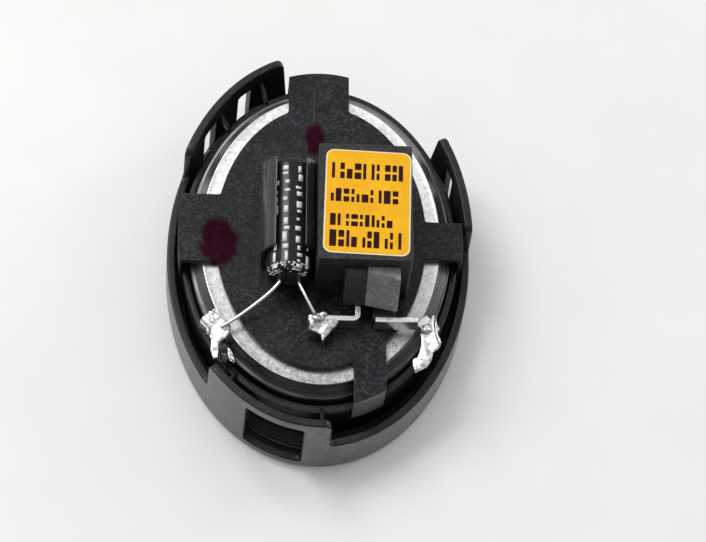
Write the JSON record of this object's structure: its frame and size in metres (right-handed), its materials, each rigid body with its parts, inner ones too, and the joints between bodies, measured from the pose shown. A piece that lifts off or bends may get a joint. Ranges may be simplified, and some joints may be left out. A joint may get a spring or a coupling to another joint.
{
  "type": "car tweeter",
  "caption": "Oval snap-in car tweeter: latched black casing, dome driver behind a perforated front, plated rear cup, capacitor and pin connector on the back.",
  "frame": {"origin": "centre of the front rim, on the plane the rim rests on", "axes": "+Z from the sound outlet to the back, +Y along the long axis of the oval, +X towards the connector side"},
  "size_m": [0.0446, 0.0618, 0.0245],
  "materials": {
    "casing_plastic": "satin black ABS with handling scuffs",
    "frame_plastic": "matt black",
    "carrier_plastic": "matt black with fine scratches and scuffs",
    "grille_steel": "black powder coat",
    "foam": "closed-cell foam",
    "cup_zinc": "zinc plated, speckled, brushed on the wall",
    "yoke_steel": "zinc plated",
    "magnet_nickel": "nickel plated",
    "tinned_metal": "tin plated, dull",
    "solder": "solder, lumpy",
    "silk_dome": "coated woven dome",
    "surround_rubber": "soft, matt",
    "former_film": "amber film",
    "coil_wire": "enamelled wire",
    "felt": "pressed felt",
    "cap_sleeve": "black shrink sleeve with plain white marks",
    "cap_can": "drawn",
    "cap_bung": "moulded",
    "glue": "dark adhesive",
    "label_paper": null
  },
  "bodies": {
    "housing": {"bezel_ring": "casing_plastic", "front_grille": "grille_steel", "seal_gasket": "foam", "waveguide_ring": "frame_plastic", "driver_frame": "frame_plastic", "surround": "surround_rubber", "damping_felt": "felt", "pole_piece": "yoke_steel", "magnet": "magnet_nickel", "yoke_cup": "yoke_steel", "chamber_felt": "felt", "rear_cup": "cup_zinc", "rear_carrier": "carrier_plastic", "connector_housing": "carrier_plastic", "connector_pin_1": "tinned_metal", "connector_pin_2": "tinned_metal", "capacitor_can": "cap_can", "capacitor_sleeve": "cap_sleeve", "capacitor_bung": "cap_bung", "capacitor_lead_a": "tinned_metal", "capacitor_lead_b": "tinned_metal", "terminal_left": "tinned_metal", "terminal_right": "tinned_metal", "tinsel_lead_left": "coil_wire", "tinsel_lead_right": "coil_wire", "solder_left": "solder", "solder_centre": "solder", "solder_right": "solder", "glue_bead": "glue", "label": "label_paper"},
    "diaphragm": {"dome_diaphragm": "silk_dome", "voice_coil_former": "former_film", "voice_coil_winding": "coil_wire"}
  },
  "joints": [
    {"name": "diaphragm_travel", "type": "slide", "parent": "housing", "child": "diaphragm", "axis": [0, 0, 1], "range_m": [-0.0003, 0.0003], "stiffness_N_per_m": 60, "deforming": ["surround"]}
  ]
}
